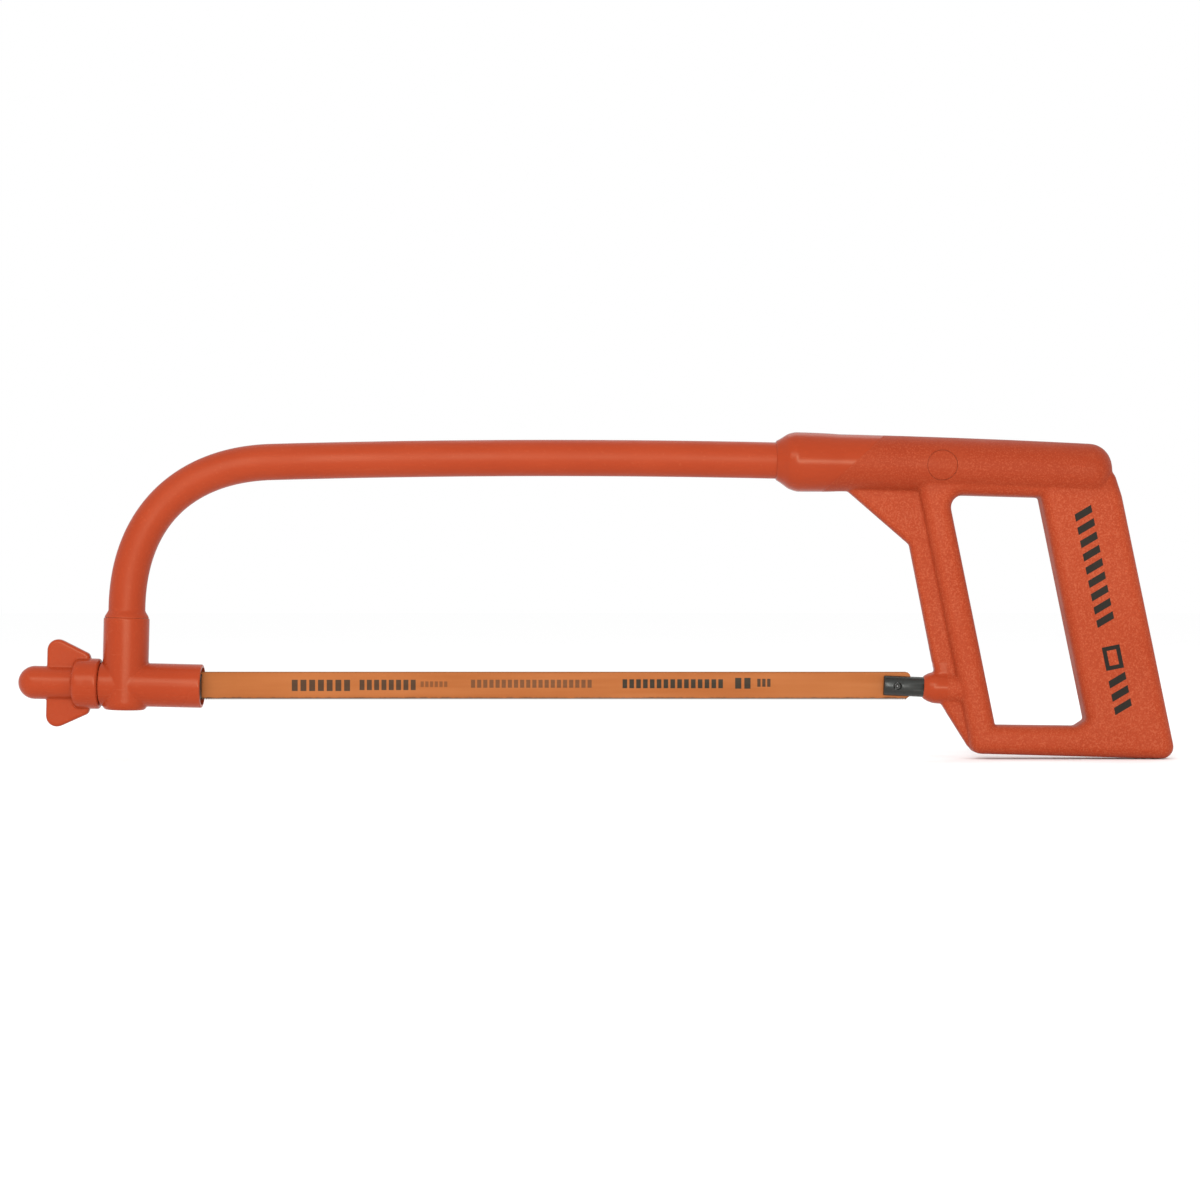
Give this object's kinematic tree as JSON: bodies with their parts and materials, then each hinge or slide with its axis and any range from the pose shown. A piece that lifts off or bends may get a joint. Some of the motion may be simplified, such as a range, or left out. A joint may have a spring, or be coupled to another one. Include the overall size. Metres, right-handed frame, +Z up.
{
  "type": "hacksaw",
  "caption": "Insulated tubular-bow hacksaw with a D-shaped handle, a fixed slotted spigot at the rear and a wing nut that tensions the blade.",
  "frame": {"origin": "middle of the bounding box's bottom face, at the height of the handle's lowest edge", "axes": "+X runs along the blade from the wing nut to the handle, +Y is the saw's thickness, +Z is up towards the bow"},
  "size_m": [0.4886, 0.0252, 0.1381],
  "materials": {
    "orange_plastic": "moulded orange-red insulating plastic, satin, fine spark texture on the handle",
    "blade_paint": "orange-brown lacquer on spring steel, darker at the teeth",
    "zinc_steel": "zinc-plated steel",
    "black_steel": "black-oxide steel, semi-matte",
    "brass": "turned brass"
  },
  "bodies": {
    "frame": {"handle": "orange_plastic", "screw_plug_near": "orange_plastic", "screw_plug_far": "orange_plastic", "bow_sleeve": "orange_plastic", "bow_core": "zinc_steel", "tee_cover": "orange_plastic", "guide_bush": "zinc_steel", "thrust_washer": "zinc_steel", "rear_spigot": "black_steel", "rear_blade_pin": "zinc_steel", "spigot_anchor_pin": "zinc_steel", "handle_screw": "zinc_steel", "handle_washer": "zinc_steel", "handle_nut": "zinc_steel", "crush_sleeve": "zinc_steel"},
    "wing_nut": {"wing_nut_cover": "orange_plastic", "wing_nut_insert": "brass"},
    "tension_rod": {"tension_rod": "black_steel", "front_blade_pin": "zinc_steel"},
    "blade": {"blade": "blade_paint"}
  },
  "joints": [
    {"name": "wing_spin", "type": "hinge", "parent": "frame", "child": "wing_nut", "pos_m": [-0.199, 0, 0.03121], "axis": [-0.9997, 0, 0.0227], "range_deg": [0, 577]},
    {"name": "rod_slide", "type": "slide", "parent": "frame", "child": "tension_rod", "axis": [0.9997, 0, -0.0227], "range_m": [0, 0.0016]},
    {"name": "blade_float", "type": "slide", "parent": "frame", "child": "blade", "axis": [1, 0, 0], "range_m": [0, 0.00081]}
  ],
  "couplings": [
    {"joint": "wing_spin", "follows": "rod_slide", "rad_per_m": 6283.2},
    {"joint": "blade_float", "follows": "rod_slide", "ratio": 0.5}
  ]
}
